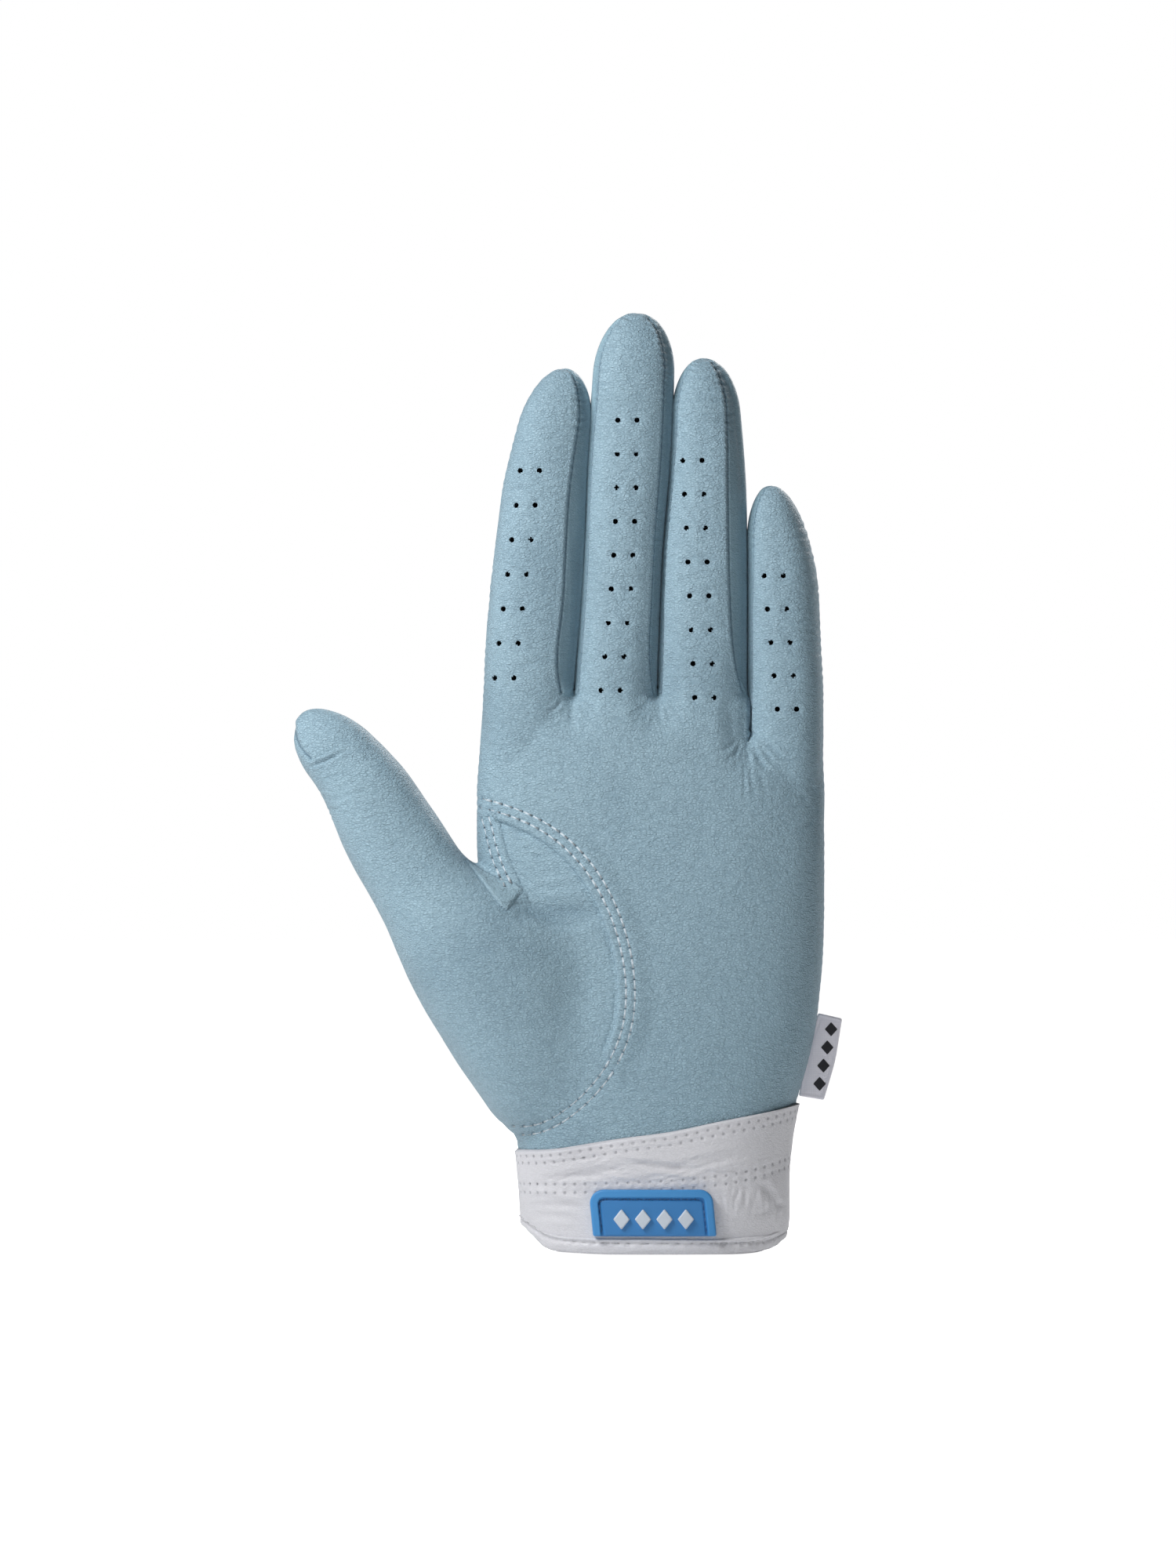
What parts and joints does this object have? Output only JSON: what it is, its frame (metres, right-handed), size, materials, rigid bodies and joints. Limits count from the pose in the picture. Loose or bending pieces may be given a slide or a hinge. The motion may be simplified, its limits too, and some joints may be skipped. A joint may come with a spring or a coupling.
{
  "type": "golf glove",
  "caption": "Left-hand leather golf glove standing open on its cuff, with bending finger and thumb stalls and a fold-over wrist tab.",
  "frame": {"origin": "centre of the hand opening, in the plane of the cuff's lower rim", "axes": "+Z from the wrist to the fingertips, +X towards the little finger, +Y out of the back of the hand"},
  "size_m": [0.1289, 0.0446, 0.2202],
  "materials": {
    "palm_leather": "soft matte sheepskin, steel blue, fine grain",
    "back_leather": "soft matte sheepskin, steel blue, fine grain",
    "strip_leather": "same leather, thin side strips",
    "thumb_leather": "same leather, one folded panel",
    "seam_leather": "turned and stitched edge of the palm panel",
    "quirk_leather": "small pale gusset",
    "white_leather": "white sheepskin, creased",
    "binding_leather": "white leather binding",
    "elastic": "white woven elastic",
    "label_satin": "blank satin label",
    "tag_weave": "pale woven tag, blank",
    "badge": "moulded blue rubber",
    "badge_marks": "white moulded marks",
    "loop_pad": "loop side of a hook-and-loop fastener",
    "hook_pad": "hook side of a hook-and-loop fastener"
  },
  "bodies": {
    "palm": {"palm_panel": "palm_leather", "back_panel": "back_leather", "thumb_panel": "thumb_leather", "crotch_webs": "strip_leather", "thumb_quirk": "quirk_leather", "thumb_seam_edge": "seam_leather", "cuff_upper_band": "white_leather", "cuff_lower_band": "white_leather", "cuff_back_thumb_side": "white_leather", "cuff_back_little_side": "white_leather", "cuff_rim_binding": "binding_leather", "slit_binding": "binding_leather", "wrist_elastic": "elastic", "size_label": "label_satin", "loop_pad": "loop_pad", "tab_root": "white_leather", "badge": "badge", "badge_marks": "badge_marks", "side_tag": "tag_weave"},
    "index_proximal": {"index_proximal_front_leather": "palm_leather", "index_proximal_back_leather": "back_leather", "index_proximal_side_strip": "strip_leather"},
    "index_middle": {"index_middle_front_leather": "palm_leather", "index_middle_back_leather": "back_leather", "index_middle_side_strip": "strip_leather"},
    "index_distal": {"index_distal_front_leather": "palm_leather", "index_distal_back_leather": "back_leather", "index_distal_side_strip": "strip_leather"},
    "middle_proximal": {"middle_proximal_front_leather": "palm_leather", "middle_proximal_back_leather": "back_leather", "middle_proximal_side_strip": "strip_leather"},
    "middle_middle": {"middle_middle_front_leather": "palm_leather", "middle_middle_back_leather": "back_leather", "middle_middle_side_strip": "strip_leather"},
    "middle_distal": {"middle_distal_front_leather": "palm_leather", "middle_distal_back_leather": "back_leather", "middle_distal_side_strip": "strip_leather"},
    "ring_proximal": {"ring_proximal_front_leather": "palm_leather", "ring_proximal_back_leather": "back_leather", "ring_proximal_side_strip": "strip_leather"},
    "ring_middle": {"ring_middle_front_leather": "palm_leather", "ring_middle_back_leather": "back_leather", "ring_middle_side_strip": "strip_leather"},
    "ring_distal": {"ring_distal_front_leather": "palm_leather", "ring_distal_back_leather": "back_leather", "ring_distal_side_strip": "strip_leather"},
    "little_proximal": {"little_proximal_front_leather": "palm_leather", "little_proximal_back_leather": "back_leather", "little_proximal_side_strip": "strip_leather"},
    "little_middle": {"little_middle_front_leather": "palm_leather", "little_middle_back_leather": "back_leather", "little_middle_side_strip": "strip_leather"},
    "little_distal": {"little_distal_front_leather": "palm_leather", "little_distal_back_leather": "back_leather", "little_distal_side_strip": "strip_leather"},
    "thumb_middle": {"thumb_middle_leather": "thumb_leather"},
    "thumb_tip": {"thumb_tip_leather": "thumb_leather"},
    "closure_tab": {"closure_tab": "white_leather", "hook_pad": "hook_pad"}
  },
  "joints": [
    {"name": "index_root_bend", "type": "hinge", "parent": "palm", "child": "index_proximal", "pos_m": [-0.0302, 0, 0.132], "axis": [1, 0, 0], "range_deg": [0, 70]},
    {"name": "index_knuckle_bend", "type": "hinge", "parent": "index_proximal", "child": "index_middle", "pos_m": [-0.02775, 0, 0.16358], "axis": [1, 0, 0], "range_deg": [0, 80]},
    {"name": "index_tip_bend", "type": "hinge", "parent": "index_middle", "child": "index_distal", "pos_m": [-0.02585, 0, 0.18464], "axis": [1, 0, 0], "range_deg": [0, 45]},
    {"name": "middle_root_bend", "type": "hinge", "parent": "palm", "child": "middle_proximal", "pos_m": [-0.00975, 0, 0.132], "axis": [1, 0, 0], "range_deg": [0, 70]},
    {"name": "middle_knuckle_bend", "type": "hinge", "parent": "middle_proximal", "child": "middle_middle", "pos_m": [-0.00785, 0, 0.16904], "axis": [1, 0, 0], "range_deg": [0, 80]},
    {"name": "middle_tip_bend", "type": "hinge", "parent": "middle_middle", "child": "middle_distal", "pos_m": [-0.0064, 0, 0.19374], "axis": [1, 0, 0], "range_deg": [0, 45]},
    {"name": "ring_root_bend", "type": "hinge", "parent": "palm", "child": "ring_proximal", "pos_m": [0.01035, 0, 0.132], "axis": [1, 0, 0], "range_deg": [0, 70]},
    {"name": "ring_knuckle_bend", "type": "hinge", "parent": "ring_proximal", "child": "ring_middle", "pos_m": [0.01125, 0, 0.16459], "axis": [1, 0, 0], "range_deg": [0, 80]},
    {"name": "ring_tip_bend", "type": "hinge", "parent": "ring_middle", "child": "ring_distal", "pos_m": [0.01185, 0, 0.18632], "axis": [1, 0, 0], "range_deg": [0, 45]},
    {"name": "little_root_bend", "type": "hinge", "parent": "palm", "child": "little_proximal", "pos_m": [0.0298, 0, 0.1222], "axis": [1, 0, 0], "range_deg": [0, 70]},
    {"name": "little_knuckle_bend", "type": "hinge", "parent": "little_proximal", "child": "little_middle", "pos_m": [0.02945, 0, 0.14631], "axis": [1, 0, 0], "range_deg": [0, 80]},
    {"name": "little_tip_bend", "type": "hinge", "parent": "little_middle", "child": "little_distal", "pos_m": [0.0287, 0, 0.16238], "axis": [1, 0, 0], "range_deg": [0, 45]},
    {"name": "thumb_root_bend", "type": "hinge", "parent": "palm", "child": "thumb_middle", "pos_m": [-0.05501, -0.0052, 0.08542], "axis": [0.848, 0, 0.5299], "range_deg": [0, 35]},
    {"name": "thumb_tip_bend", "type": "hinge", "parent": "thumb_middle", "child": "thumb_tip", "pos_m": [-0.06773, -0.0052, 0.10577], "axis": [0.848, 0, 0.5299], "range_deg": [0, 50]},
    {"name": "closure_tab_fold", "type": "hinge", "parent": "palm", "child": "closure_tab", "pos_m": [-0.01915, 0.02125, 0.018], "axis": [0, 0, 1], "range_deg": [0, 150]}
  ],
  "couplings": [
    {"joint": "index_knuckle_bend", "follows": "index_root_bend", "ratio": 1.1429},
    {"joint": "index_tip_bend", "follows": "index_root_bend", "ratio": 0.64286},
    {"joint": "middle_knuckle_bend", "follows": "middle_root_bend", "ratio": 1.1429},
    {"joint": "middle_tip_bend", "follows": "middle_root_bend", "ratio": 0.64286},
    {"joint": "ring_knuckle_bend", "follows": "ring_root_bend", "ratio": 1.1429},
    {"joint": "ring_tip_bend", "follows": "ring_root_bend", "ratio": 0.64286},
    {"joint": "little_knuckle_bend", "follows": "little_root_bend", "ratio": 1.1429},
    {"joint": "little_tip_bend", "follows": "little_root_bend", "ratio": 0.64286},
    {"joint": "thumb_tip_bend", "follows": "thumb_root_bend", "ratio": 1.4286}
  ]
}
